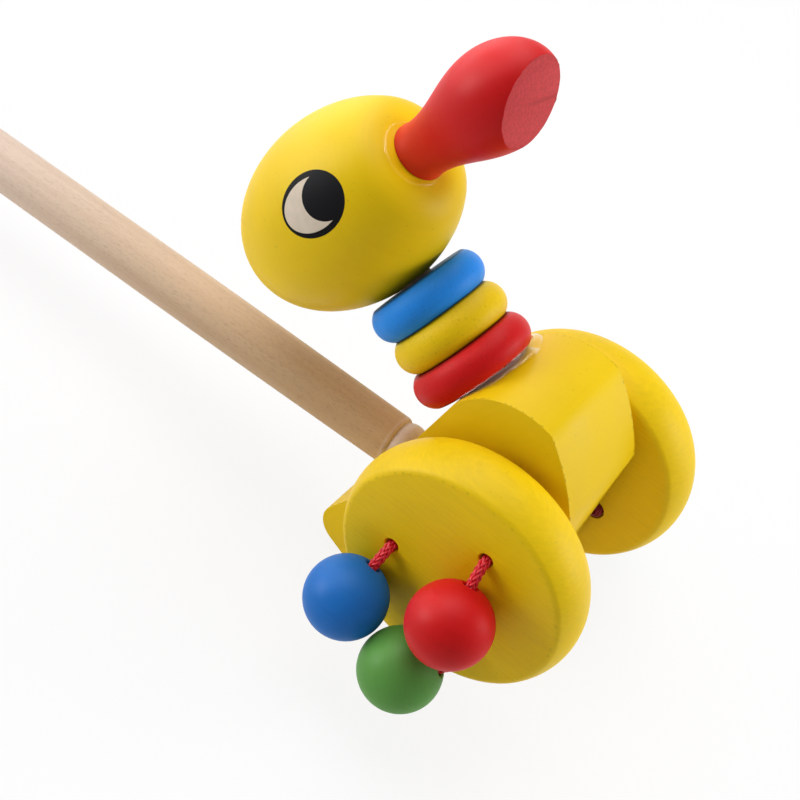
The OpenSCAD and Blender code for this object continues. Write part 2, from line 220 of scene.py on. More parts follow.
def braid(name, line, thickness, pitch):
    """One mesh of sixteen strands that follows a line, with a UV map named yarn."""
    points, stations = evenly(line, RING_STEP)
    across, up = carried_ways(points)
    turns = 2 * math.pi * stations / pitch
    around = 2 * math.pi * np.arange(STRAND_SIDES) / STRAND_SIDES
    rings = len(points)
    vertices, faces, yarn = [], [], []
    for hand in (1, -1):
        for strand in range(STRANDS):
            angle = hand * turns + 2 * math.pi * strand / STRANDS
            out = np.cos(angle)[:, None] * across + np.sin(angle)[:, None] * up
            over = np.cos(STRANDS * turns / 2 + hand * (math.pi * strand - math.pi / 4))
            weave = thickness * (BRAID_R + hand * SWAY * over)
            centre = points + weave[:, None] * out
            beside = unit(np.cross(np.gradient(centre, axis=0), out))
            first = len(vertices) * rings * STRAND_SIDES
            lift = STRAND_HIGH * thickness * np.cos(around)[None, :, None] * out[:, None]
            spread = STRAND_WIDE * thickness * np.sin(around)[None, :, None] * beside[:, None]
            vertices.append(centre[:, None] + lift + spread)
            for i in range(rings - 1):
                for k in range(STRAND_SIDES):
                    a, b = first + i * STRAND_SIDES + k, first + i * STRAND_SIDES + (k + 1) % STRAND_SIDES
                    faces.append((a, b, b + STRAND_SIDES, a + STRAND_SIDES))
                    low, high = 1000 * stations[i], 1000 * stations[i + 1]
                    yarn += [(k, low), (k + 1, low), (k + 1, high), (k, high)]
            for i, order in ((0, -1), (rings - 1, 1)):
                faces.append([first + i * STRAND_SIDES + k for k in range(STRAND_SIDES)][::order])
                yarn += [(0, 1000 * stations[i])] * STRAND_SIDES
    mesh = bpy.data.meshes.new(name)
    mesh.from_pydata(np.concatenate(vertices).reshape(-1, 3).tolist(), [], faces)
    mesh.uv_layers.new(name="yarn").data.foreach_set("uv", np.array(yarn, np.float32).ravel())
    mesh.shade_smooth()
    cord = bpy.data.objects.new(name, mesh)
    bpy.context.scene.collection.objects.link(cord)
    pick(cord)
    bpy.ops.object.mode_set(mode="EDIT")
    bpy.ops.mesh.select_all(action="SELECT")
    bpy.ops.mesh.normals_make_consistent(inside=False)
    bpy.ops.object.mode_set(mode="OBJECT")
    return cord


print("A braid has", 2 * STRANDS, "strands and turns once in", round(BRAID_PITCH / MM), "mm")

# %% [markdown]
# Each cord is braided along its route and takes the place of the imported cord. On the toy its start turns
# with the wheel and its end swings with the bead.

# %% Hang the cords between wheel and bead
CORDS = {}
for bead, route in ROUTES.items():
    cord = braid(f"braided_cord_{bead}", route["line"], CORD_D, BRAID_PITCH)
    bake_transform(cord)
    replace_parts(cord, f"cord_{bead}")
    CORDS[bead] = cord
print("cords:", {bead: len(cord.data.polygons) for bead, cord in CORDS.items()})

# %% [markdown]
# On the inner face of the wheel an overhand knot keeps the cord from slipping through. A knot of this
# kind, pulled tight, is close to a trefoil, so the same braid is laid along that closed line.

# %% Tie the knots on the inner faces
KNOT_R = 0.66 * MM
KNOT_DEPTH = 1.15 * MM
KNOT_YARN = 2.5 * MM
KNOT_IN = 0.5
KNOT_POINTS = 90


def trefoil(middle, out):
    t = np.linspace(0, 2 * math.pi, KNOT_POINTS)
    flat_x, flat_z = np.sin(t) + 2 * np.sin(2 * t), np.cos(t) - 2 * np.cos(2 * t)
    deep = -np.sin(3 * t)
    return np.array(middle) + np.stack([KNOT_R * flat_x, KNOT_DEPTH * deep * out.y, KNOT_R * flat_z], 1)


KNOTS = {}
for side in ("right", "left"):
    tied = []
    for bead in (name for name in BEAD_NAMES if name.startswith(side)):
        route = ROUTES[bead]
        middle = route["mouth"] - route["out"] * (WHEEL_T - KNOT_IN) * MM
        tied.append(braid(f"knot_{bead}", trefoil(middle, route["out"]), KNOT_YARN, BRAID_PITCH))
    pick(*tied)
    bpy.ops.object.join()
    knots = bpy.context.object
    knots.name = f"tied_knots_{side}"
    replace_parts(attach(knots, "wheelset"), f"knots_{side}")
    KNOTS[side] = knots
print("knots:", [knots.name for knots in KNOTS.values()])

# %% [markdown]
# Nearly everything else on this toy comes from the lathe: wheels, rings, head, beak, beads, stick and
# knob. In Blender the same idea works. A single point is extruded along half of the outline, and the line
# is spun round the axis. The doubles at the seam and the poles are merged and the normals set outwards.

# %% A lathe
def trace(points):
    """In edit mode: draws a new line through points, given in millimetres, and leaves all selected."""
    bpy.ops.mesh.select_all(action="DESELECT")
    bpy.ops.mesh.primitive_plane_add(size=MM)
    bpy.ops.mesh.merge(type="CENTER")
    points = [MM * Vector(point) for point in points]
    bpy.ops.transform.translate(value=points[0])
    for here, there in zip(points, points[1:]):
        bpy.ops.mesh.extrude_region_move(TRANSFORM_OT_translate={"value": there - here})
    bpy.ops.mesh.select_all(action="SELECT")


def new_piece(name):
    """An empty piece at the origin, in edit mode."""
    if bpy.context.object and bpy.context.object.mode == "EDIT":
        bpy.ops.object.mode_set(mode="OBJECT")
    bpy.ops.object.select_all(action="DESELECT")
    bpy.ops.mesh.primitive_plane_add(size=MM)
    piece = bpy.context.object
    piece.name = piece.data.name = name
    bpy.ops.object.mode_set(mode="EDIT")
    bpy.ops.mesh.delete(type="VERT")
    return piece


def close_up():
    """In edit mode: merges what lies on itself and turns all faces outwards."""
    bpy.ops.mesh.select_all(action="SELECT")
    bpy.ops.mesh.remove_doubles(threshold=0.001 * MM)
    bpy.ops.mesh.normals_make_consistent(inside=False)


def settle(piece, place):
    """Puts a piece at its place and moves that place into its mesh."""
    bpy.ops.object.mode_set(mode="OBJECT")
    piece.matrix_world = place
    bpy.ops.object.transform_apply(location=True, rotation=True, scale=True)


def lathe(name, outline, place, steps=128):
    """Spins an outline of (radius, height) points, in millimetres, about Z."""
    piece = new_piece(name)
    trace([(radius, 0, height) for radius, height in outline])
    bpy.ops.mesh.spin(steps=steps, angle=2 * math.pi, center=(0, 0, 0), axis=(0, 0, 1))
    close_up()
    settle(piece, place)
    return piece


print("The lathe is ready")

# %% [markdown]
# What comes off a lathe or a saw is sanded and bored. A bevel rounds the edges as sandpaper does, shading by
# angle keeps the faces smooth between them, and a boolean with a turned tool bores a hole.

# %% Sandpaper, drills and a place on the toy
def finish_with(piece, kind, **settings):
    """Adds a modifier to the active piece and applies it."""
    modifier = piece.modifiers.new(kind.lower(), kind)
    for key, value in settings.items():
        setattr(modifier, key, value)
    bpy.context.view_layer.objects.active = piece
    bpy.ops.object.modifier_apply(modifier=modifier.name)


def soften(piece, width, segments=4, over=35):
    """Rounds every edge that turns by more than a few degrees, as sanding does."""
    finish_with(piece, "BEVEL", width=width * MM, segments=segments, limit_method="ANGLE",
                angle_limit=math.radians(over))


def smooth(piece, over=40):
    pick(piece)
    bpy.ops.object.shade_smooth_by_angle(angle=math.radians(over))


def arc(centre, radius, start, end, steps):
    """Points of an arc; angles in degrees, both ends included."""
    angles = np.radians(np.linspace(start, end, steps + 1))
    return [(centre[0] + radius * math.cos(a), centre[1] + radius * math.sin(a)) for a in angles]


def drill(radius, low, high):
    """Half the outline of a plain drill."""
    return [(0, low), (radius, low), (radius, high), (0, high)]


def bore_out(piece, tools):
    """Cuts turned tools out of a piece."""
    pick(*tools)
    bpy.ops.object.join()
    cutter = bpy.context.object
    finish_with(piece, "BOOLEAN", operation="DIFFERENCE", object=cutter, solver="EXACT")
    bpy.data.objects.remove(cutter)


def stand_in_for(piece, node, body, slot):
    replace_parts(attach(piece, body), node)
    print(f"{piece.name}: {len(piece.data.polygons)} faces")
    return piece


print("Sandpaper and drills are ready")

# %% [markdown]
# The wheels are thick discs with a bowed rim and a soft corner between rim and face. Three holes go
# through each, wider on the inner face, where the knots sit. The holes are cut with a turned tool whose
# flared end leaves a rounded mouth, as sandpaper would.

# %% Turn the wheels and bore them
WHEEL_R, WHEEL_FACE_R, WHEEL_SOFT = 38.5, 35.5, 1.2
RIM_SAG = WHEEL_R - WHEEL_FACE_R
RIM_R = (WHEEL_T ** 2 / 4 + RIM_SAG ** 2) / (2 * RIM_SAG)
RIM_TURN = math.degrees(math.asin(WHEEL_T / 2 / RIM_R))
# A ring of points halfway out on the faces keeps their triangles from getting too thin
HALFWAY = 20
WHEEL_OUTLINE = [(0, 0), (HALFWAY, 0), *arc((WHEEL_R - RIM_R, WHEEL_T / 2), RIM_R, -RIM_TURN, RIM_TURN, 14),
                 (HALFWAY, WHEEL_T), (0, WHEEL_T)]
HOLE_R, MOUTH_SOFT = 2.2, 0.5
KNOT_SEAT_R, KNOT_SEAT_DEEP = 3.6, 2.5
AXLE_SOCKET_R, AXLE_SOCKET_DEEP = 5.1, 13
# Tools reach this far past the wood that they cut
PAST = 1
HOLE_TOOL = [(0, -PAST), (KNOT_SEAT_R, -PAST), (KNOT_SEAT_R, KNOT_SEAT_DEEP), (HOLE_R, KNOT_SEAT_DEEP),
             *arc((HOLE_R + MOUTH_SOFT, WHEEL_T - MOUTH_SOFT), MOUTH_SOFT, 180, 90, 5),
             (HOLE_R + MOUTH_SOFT, WHEEL_T + PAST), (0, WHEEL_T + PAST)]
SOCKET_TOOL = drill(AXLE_SOCKET_R, -PAST, AXLE_SOCKET_DEEP)


def wheel_frame(side):
    """On the wheel's inner face, Z outwards."""
    low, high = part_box(f"wheel_{side}")
    out = SIDE_WAY if side == "left" else -SIDE_WAY
    inner = low.y if side == "left" else high.y
    return frame_at(Vector((AXLE.x, inner, AXLE.z)), Vector((1, 0, 0)), out.cross(Vector((1, 0, 0))), out)


WHEELS = {}
for side in ("right", "left"):
    place = wheel_frame(side)
    wheel = lathe(f"turned_wheel_{side}", WHEEL_OUTLINE, place, steps=160)
    soften(wheel, WHEEL_SOFT, segments=5)
    tools = [lathe("socket_tool", SOCKET_TOOL, place, steps=64)]
    for bead in (name for name in BEAD_NAMES if name.startswith(side)):
        mouth = ROUTES[bead]["mouth"]
        hole_place = place.copy()
        hole_place.translation = Vector((mouth.x, place.translation.y, mouth.z))
        tools.append(lathe("hole_tool", HOLE_TOOL, hole_place, steps=48))
    bore_out(wheel, tools)
    smooth(wheel)
    WHEELS[side] = stand_in_for(wheel, f"wheel_{side}", "wheelset", "yellow_paint")

# %% [markdown]
# The beads are balls with one blind hole. The outline starts at the bottom of the hole, comes out of its
# rounded mouth and runs over the ball to the far pole, so the hole is part of the turned skin.

# %% Turn the beads
BEAD_HOLE_R, BEAD_HOLE_END = 2.2, 4.5
BEAD_MOUTH = [(BEAD_HOLE_R, -11.4), (2.27, -11.75), (2.5, -12.02)]
MOUTH_ANGLE = math.degrees(math.acos((BEAD_R - BEAD_FLAT) / BEAD_R))
BEAD_OUTLINE = [(0, BEAD_HOLE_END), (BEAD_HOLE_R, BEAD_HOLE_END), *BEAD_MOUTH,
                *arc((0, 0), BEAD_R, MOUTH_ANGLE - 90, 90, 44)]
BEAD_OUTLINE[-1] = (0, BEAD_R)


def along_way(origin, way):
    """A frame at a point with Z along a direction."""
    beside = way.cross(Vector((1, 0, 0))).normalized()
    return frame_at(origin, beside, way.cross(beside), way)


BEADS, BEAD_PLACES = {}, {}
for bead in BEAD_NAMES:
    BEAD_PLACES[bead] = along_way(bead_middle(bead), ROUTES[bead]["bore"])
    ball = lathe(f"turned_bead_{bead}", BEAD_OUTLINE, BEAD_PLACES[bead], steps=96)
    smooth(ball)
    BEADS[bead] = stand_in_for(ball, f"bead_{bead}", f"{bead}_bead", bead.split("_")[1] + "_paint")

# %% [markdown]
# The body is sawn from a plank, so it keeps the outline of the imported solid. A copy of that solid is
# merged, its flat faces are joined to single ones, and every edge is rounded as by sanding.

# %% Sand the body
BODY_W, BODY_SOFT = 38.5, 1.1
body = bpy.data.objects.new("sawn_body", frame["nodes"]["body_block"].data.copy())
bpy.context.scene.collection.objects.link(body)
pick(body)
bpy.ops.object.mode_set(mode="EDIT")
bpy.ops.mesh.select_all(action="SELECT")
bpy.ops.mesh.remove_doubles(threshold=0.001 * MM)
bpy.ops.mesh.dissolve_limited(angle_limit=math.radians(0.5))
bpy.ops.object.mode_set(mode="OBJECT")
soften(body, BODY_SOFT, segments=4, over=40)
smooth(body, over=35)
stand_in_for(body, "body_block", "duck", "yellow_paint")

# %% [markdown]
# Three rings with bowed rims sit on the neck. The red one is a little larger and glued to the body, slightly
# off to the right, and the other two spin. Their outline is a closed loop, so the spun line closes on itself
# without poles. A small bevel softens the turn from the rim to the flat faces.

# %% Turn the neck rings
RING_T, RING_BOW_R, RING_BREAK, RING_SOFT = 10.9, 6.35, 0.3, 0.8
NECK_X = 17.5
# Radius, height of the foot, shift to the left, radius of the bore, and the body that it belongs to
RING_SET = {"red": (19.2, 38.8, -0.7, 5.8, "duck"), "yellow": (18.3, 49.85, 0, 5.1, "yellow_ring"),
            "blue": (18.3, 60.9, 0, 5.1, "blue_ring")}


def ring_outline(radius, bore):
    reach = math.degrees(math.asin(RING_T / 2 / RING_BOW_R))
    rim = arc((radius - RING_BOW_R, RING_T / 2), RING_BOW_R, -reach, reach, 24)
    return [(bore, RING_BREAK), (bore + RING_BREAK, 0), *rim,
            (bore + RING_BREAK, RING_T), (bore, RING_T - RING_BREAK), (bore, RING_BREAK)]


RINGS, RING_PLACES = {}, {}
for paint, (radius, foot, shift, bore, ring_body) in RING_SET.items():
    RING_PLACES[paint] = frame_at(on_duck(NECK_X, shift, foot), NOSE_WAY, SIDE_WAY, NECK_UP)
    ring = lathe(f"turned_ring_{paint}", ring_outline(radius, bore), RING_PLACES[paint], steps=144)
    soften(ring, RING_SOFT, segments=3, over=25)
    smooth(ring)
    RINGS[paint] = stand_in_for(ring, f"ring_{paint}", ring_body, f"{paint}_paint")

# %% [markdown]
# The head is an egg turned about the line from the back of the head to the beak. Its front is turned off
# flat, with a soft turn into the egg, so the beak has a seat. The sockets for the neck and the beak are
# bored with turned tools.

# %% Turn the head and bore it
HEAD_L, HEAD_R = 40.0, 27.8
HEAD_X, HEAD_Z = 13.3, 99.75
FLAT_AT, FLAT_R = 33.1, 9.8
TURN_RUN, TURN_PULL = 5.0, 0.6
HEAD_MIDDLE = on_duck(HEAD_X, 0, HEAD_Z)
HEAD_PLACE = frame_at(HEAD_MIDDLE, -NECK_UP, SIDE_WAY, NOSE_WAY)
turn_angle = math.asin((FLAT_AT - TURN_RUN) / HEAD_L)
EGG_POINTS, TURN_POINTS = 52, 12
egg = [(HEAD_R * math.cos(a), HEAD_L * math.sin(a))
       for a in np.linspace(-math.pi / 2, turn_angle, EGG_POINTS)]
turn_from, turn_to = Vector((*egg[-1], 0)), Vector((FLAT_R, FLAT_AT, 0))
turn_mid = turn_from + TURN_RUN * Vector((-HEAD_R * math.tan(turn_angle) / HEAD_L, 1, 0))
soft_turn = interpolate_bezier(turn_from, turn_from.lerp(turn_mid, TURN_PULL),
                               turn_to.lerp(turn_mid, TURN_PULL), turn_to, TURN_POINTS)
HEAD_OUTLINE = [(0, -HEAD_L), *egg[1:], *[(point.x, point.y) for point in soft_turn[1:]], (0, FLAT_AT)]

BEAK_DROOP, BEAK_LIFT = math.radians(2.65), 0.2
BEAK_WAY = duck_way(math.cos(BEAK_DROOP), 0, -math.sin(BEAK_DROOP))
BEAK_UP = duck_way(math.sin(BEAK_DROOP), 0, math.cos(BEAK_DROOP))
BEAK_ROOT = on_duck(HEAD_X + FLAT_AT, 0, HEAD_Z + BEAK_LIFT)
BEAK_PLACE = frame_at(BEAK_ROOT, -BEAK_UP, SIDE_WAY, BEAK_WAY)
NECK_SOCKET = drill(5.1, -PAST, 24)
BEAK_SOCKET = drill(6.1, -10, PAST)

head = lathe("turned_head", HEAD_OUTLINE, HEAD_PLACE, steps=144)
head_foot = frame_at(on_duck(NECK_X, 0, HEAD_Z - HEAD_R), NOSE_WAY, SIDE_WAY, NECK_UP)
bore_out(head, [lathe("neck_tool", NECK_SOCKET, head_foot, steps=48),
                lathe("beak_tool", BEAK_SOCKET, BEAK_PLACE, steps=48)])
smooth(head)
stand_in_for(head, "head", "duck", "yellow_paint")

# %% [markdown]
# The beak is turned too: a foot, a waist that flares to a swelling, and a rounded nose. The foot is cut at a
# slant, and a plug grows out of it: the cut face is inset and extruded. Then the lower side of the nose is
# sawn off flat. Bisect makes both cuts and fills them, and a small bevel breaks every edge.

# %% Turn the beak and cut it
BEAK_FOOT_R, BEAK_WAIST_R, BEAK_R = 8.4, 8.1, 13.8
BEAK_FOOT_L, BEAK_WAIST, BEAK_SWELL, BEAK_NOSE = 0.6, 2.9, 32.3, 18.6
BEAK_GAP, BEAK_SOFT = 0.1, 0.6
PLUG_R, PLUG_L = 6.0, 9.9
CUT_TILT, CUT_TURN, CUT_DISTANCE = math.radians(49.9), math.radians(11.3), 30.6
flare = np.linspace(0, 1, 31)
nose = np.radians(np.linspace(0, 90, 27))[1:]
BEAK_OUTLINE = [(0, -PAST), (BEAK_FOOT_R, -PAST), (BEAK_FOOT_R, BEAK_FOOT_L),
                *[(BEAK_WAIST_R + (BEAK_R - BEAK_WAIST_R) * (1 - math.cos(math.pi * u)) / 2,
                   BEAK_WAIST + (BEAK_SWELL - BEAK_WAIST) * u) for u in flare],
                *[(BEAK_R * math.cos(a), BEAK_SWELL + BEAK_NOSE * math.sin(a)) for a in nose]]
BEAK_OUTLINE[-1] = (0, BEAK_SWELL + BEAK_NOSE)
CUT_WAY = (BEAK_WAY * math.cos(CUT_TILT) - SIDE_WAY * math.sin(CUT_TILT) * math.sin(CUT_TURN)
           - BEAK_UP * math.sin(CUT_TILT) * math.cos(CUT_TURN))

beak = lathe("turned_beak", BEAK_OUTLINE, BEAK_PLACE, steps=128)
bpy.ops.object.mode_set(mode="EDIT")
bpy.ops.mesh.select_all(action="SELECT")
bpy.ops.mesh.bisect(plane_co=on_duck(HEAD_X + FLAT_AT + BEAK_GAP, 0, HEAD_Z), plane_no=NOSE_WAY,
                    use_fill=True, clear_inner=True)
bpy.ops.mesh.inset(thickness=(BEAK_FOOT_R - PLUG_R) * MM)
bpy.ops.mesh.extrude_region_move(TRANSFORM_OT_translate={"value": -PLUG_L * MM * BEAK_WAY})
bpy.ops.mesh.select_all(action="SELECT")
bpy.ops.mesh.bisect(plane_co=BEAK_ROOT + CUT_WAY * CUT_DISTANCE * MM, plane_no=CUT_WAY,
                    use_fill=True, clear_outer=True)
close_up()
bpy.ops.object.mode_set(mode="OBJECT")
soften(beak, BEAK_SOFT, segments=4, over=30)
smooth(beak, over=30)
stand_in_for(beak, "beak", "duck", "red_paint")

# %% [markdown]
# Clear glue was squeezed out where the beak and the red ring were set. At the beak it is a low film with a
# raised edge, turned on the lathe. Under the ring it is a round bead: the front half of a torus. Both lie
# partly in the wood, where they can't be seen, and stand off to the side on which the glue came out.

# %% Squeeze out the glue
FILM_AT = (HEAD_X + FLAT_AT, -2.8, HEAD_Z + 0.6)
FILM_R, FILM_T, FILM_EDGE, FILM_UNDER = 9.7, 0.25, 0.7, 0.9
GLUE_RING_AT = (NECK_X + 1.6, -0.5, 38.2)
GLUE_RING_R, GLUE_THICK_R = 16.8, 2.0
GLUE_FRONT_AT = (NECK_X + 4, 0, 38.2)


def film(radius, thick, edge, under):
    """Half the outline of a film with a raised round edge."""
    return [(0, -under), (radius, -under), *arc((radius - edge, thick), edge, 0, 180, 14), (0, thick)]


beak_glue = lathe("glue_at_beak", film(FILM_R, FILM_T, FILM_EDGE, FILM_UNDER),
                  frame_at(on_duck(*FILM_AT), -NECK_UP, SIDE_WAY, NOSE_WAY))
smooth(beak_glue, over=50)

bpy.ops.object.select_all(action="DESELECT")
bpy.ops.mesh.primitive_torus_add(major_radius=GLUE_RING_R * MM, minor_radius=GLUE_THICK_R * MM,
                                 major_segments=128, minor_segments=24)
ring_glue = bpy.context.object
ring_glue.name = ring_glue.data.name = "glue_under_ring"
settle(ring_glue, frame_at(on_duck(*GLUE_RING_AT), NOSE_WAY, SIDE_WAY, NECK_UP))
bpy.ops.object.mode_set(mode="EDIT")
bpy.ops.mesh.select_all(action="SELECT")
bpy.ops.mesh.bisect(plane_co=on_duck(*GLUE_FRONT_AT), plane_no=NOSE_WAY, use_fill=True, clear_inner=True)
bpy.ops.object.mode_set(mode="OBJECT")
smooth(ring_glue)
GLUE = [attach(drop, "duck") for drop in (beak_glue, ring_glue)]
print("glue:", {drop.name: len(drop.data.polygons) for drop in GLUE})

# %% [markdown]
# The stick is one long turning: a tenon that goes into the body, a bowed collar, a groove, a shoulder and
# the shaft, which gets a little thicker on its first hand's breadth. A ball knob closes its far end.

# %% Turn the stick and its knob
STICK_TILT = math.radians(61.7)
STICK_OFF = 11.5
STICK_SEAT, STICK_END = 38.2, 458.1
STICK_R, STICK_FOOT_R, GROOVE_R = 9.1, 8.45, 7.4
FOOT_END, TAPER_TO = 46, 150
TENON_R, TENON_END, KNOB_TENON_R, KNOB_TENON_END = 6, 16.2, 5.5, 476
COLLAR_L, COLLAR_BOW = 5.8, 3.2
SHOULDER_AT, SHOULDER_L = 44.2, 1.3
END_BREAK = 0.3
STICK_WAY = duck_way(-math.cos(STICK_TILT), 0, math.sin(STICK_TILT))
STICK_UP = duck_way(math.sin(STICK_TILT), 0, math.cos(STICK_TILT))
STICK_PLACE = frame_at(on_duck(-STICK_OFF * math.sin(STICK_TILT), 0, -STICK_OFF * math.cos(STICK_TILT)),
                       STICK_UP, SIDE_WAY, STICK_WAY)
collar = [(GROOVE_R + COLLAR_BOW * t * (1 - t), STICK_SEAT + COLLAR_L * t) for t in np.linspace(0, 1, 13)]
shoulder = [(GROOVE_R + (STICK_FOOT_R - GROOVE_R) * math.sin(a), SHOULDER_AT + SHOULDER_L * (1 - math.cos(a)))
            for a in np.radians(np.linspace(0, 90, 9))]
taper = [(STICK_FOOT_R + (STICK_R - STICK_FOOT_R) * math.sin(math.pi * t / 2),
          FOOT_END + (TAPER_TO - FOOT_END) * t) for t in np.linspace(0, 1, 11)]
STICK_OUTLINE = [(0, TENON_END), (TENON_R, TENON_END), (TENON_R, STICK_SEAT), *collar, *shoulder, *taper,
                 (STICK_R, STICK_END - END_BREAK), (STICK_R - END_BREAK, STICK_END),
                 (KNOB_TENON_R, STICK_END), (KNOB_TENON_R, KNOB_TENON_END), (0, KNOB_TENON_END)]
stick = lathe("turned_stick", STICK_OUTLINE, STICK_PLACE, steps=96)
smooth(stick, over=30)
stand_in_for(stick, "stick", "duck", "beech")

KNOB_R, KNOB_MIDDLE, KNOB_FACE_R = 17.5, 472.6, 9.8
KNOB_HOLE_R, KNOB_HOLE_END = 5.6, KNOB_MIDDLE + 3.5
KNOB_MOUTH = [(KNOB_HOLE_R, STICK_END + 0.5), (6.0, STICK_END + 0.1)]
knob_start = -math.degrees(math.acos(KNOB_FACE_R / KNOB_R))
KNOB_OUTLINE = [(0, KNOB_HOLE_END), (KNOB_HOLE_R, KNOB_HOLE_END), *KNOB_MOUTH,
                *arc((0, KNOB_MIDDLE), KNOB_R, knob_start, 90, 36)]
KNOB_OUTLINE[-1] = (0, KNOB_MIDDLE + KNOB_R)
knob = lathe("turned_knob", KNOB_OUTLINE, STICK_PLACE, steps=96)
smooth(knob)
stand_in_for(knob, "stick_knob", "duck", "beech")

# %% [markdown]
# Each side of the head carries a printed eye: a black oval with a cream crescent behind the pupil. A print
# is a thin skin of ink, so the oval is a disc with rings of points, projected onto the head and given a
# tenth of a millimetre of thickness. The crescent is two arcs, bridged and laid on in the same way.

# %% Print the eyes
EYE_FROM_HEAD = (14.06, -25.41, 5.62)
EYE_ACROSS, EYE_RISE, EYE_OUT = (0.968, 0.247, -0.055), (0, 0.216, 0.976), (0.252, -0.945, 0.209)
BLACK_MIDDLE, BLACK_SIZE = (-0.36, 0.09), (10.63, 8.70)
CREAM_MIDDLE, CREAM_SIZE = (-0.41, 0.07), (9.74, 7.07)
PUPIL_MIDDLE, PUPIL_SIZE = (4.17, 0.17), (6.74, 6.74)
CREAM_TIPS, PUPIL_TIPS = (71.1, 291.8), (102.1, 261.8)
EYE_SIDES, EYE_RINGS, EDGE_POINTS = 112, 9, 61
INK, BLACK_LIFT, CREAM_LIFT = 0.12 * MM, 0.03 * MM, 0.06 * MM
EYE_CLEAR = 4.0 * MM


def eye_place(side):
    """The frame of an eye, X to the front on the right side and to the back on the left."""
    mirror = Matrix.Diagonal((1, -1 if side == "left" else 1, 1))
    across, rise, out = (DUCK.to_3x3() @ mirror @ Vector(way) for way in (EYE_ACROSS, EYE_RISE, EYE_OUT))
    origin = HEAD_MIDDLE + MM * (DUCK.to_3x3() @ mirror @ Vector(EYE_FROM_HEAD)) + EYE_CLEAR * out
    return frame_at(origin, -across if side == "left" else across, rise, out)


def lay_on_head(print_piece, place, lift):
    """Projects a flat print onto the head and gives it the thickness of ink."""
    bpy.ops.object.mode_set(mode="OBJECT")
    print_piece.matrix_world = place
    bpy.context.view_layer.update()
    finish_with(print_piece, "SHRINKWRAP", target=head, wrap_method="PROJECT", use_project_z=True,
                use_negative_direction=True, use_positive_direction=False, offset=lift)
    finish_with(print_piece, "SOLIDIFY", thickness=INK, offset=-1)
    bpy.ops.object.mode_set(mode="EDIT")
    close_up()
    settle(print_piece, place)
    smooth(print_piece, over=60)
    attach(print_piece, "duck")


def crescent_edge(middle, size, tips, flip):
    """Points of one edge of the crescent, from tip to tip."""
    return [(flip * (middle[0] + size[0] * math.cos(a)), middle[1] + size[1] * math.sin(a), 0)
            for a in np.radians(np.linspace(*tips, EDGE_POINTS))]


EYES = []
for side in ("right", "left"):
    flip = -1 if side == "left" else 1
    black = new_piece(f"eye_black_{side}")
    bpy.ops.mesh.primitive_circle_add(vertices=EYE_SIDES, radius=1, fill_type="NGON")
    for _ in range(EYE_RINGS):
        bpy.ops.mesh.inset(thickness=1 / (EYE_RINGS + 1))
    bpy.ops.mesh.select_all(action="SELECT")
    bpy.ops.transform.resize(value=(BLACK_SIZE[0] * MM, BLACK_SIZE[1] * MM, 1), center_override=(0, 0, 0))
    bpy.ops.transform.translate(value=(flip * BLACK_MIDDLE[0] * MM, BLACK_MIDDLE[1] * MM, 0))
    lay_on_head(black, eye_place(side), BLACK_LIFT)
    cream = new_piece(f"eye_cream_{side}")
    trace(crescent_edge(CREAM_MIDDLE, CREAM_SIZE, CREAM_TIPS, flip))
    trace(crescent_edge(PUPIL_MIDDLE, PUPIL_SIZE, PUPIL_TIPS, flip))
    bpy.ops.mesh.bridge_edge_loops(number_cuts=6, interpolation="LINEAR")
    lay_on_head(cream, eye_place(side), CREAM_LIFT)
    EYES += [black, cream]
print("eyes:", {eye.name: len(eye.data.polygons) for eye in EYES})

# %% [markdown]
# Finishes come next. A small class wraps a shader socket, so that sums and products of values can be
# written as in Python.

# %% Sums and products of shader values
class Value:
    """The output of a shader node; arithmetic on it adds Math nodes."""

    def __init__(self, finish, socket):
        self.finish, self.socket = finish, socket

    def maths(self, operation, first, second):
        return self.finish.node("ShaderNodeMath", {"operation": operation}, {0: first, 1: second})

    def __add__(self, other):
        return self.maths("ADD", self, other)

    def __sub__(self, other):
        return self.maths("SUBTRACT", self, other)

    def __rsub__(self, other):
        return self.maths("SUBTRACT", other, self)

    def __mul__(self, other):
        return self.maths("MULTIPLY", self, other)

    __radd__, __rmul__ = __add__, __mul__


print("Shader values can be added, taken away and multiplied")

# %% [markdown]
# A second class holds a material while it is made. One method adds any node, and the others are short names
# for what every finish needs: noise on the piece's own drawing board in millimetres, spans and bands of a
# value, blends of colours and relief. A finish that is drawn on the board stays with its piece as it moves.

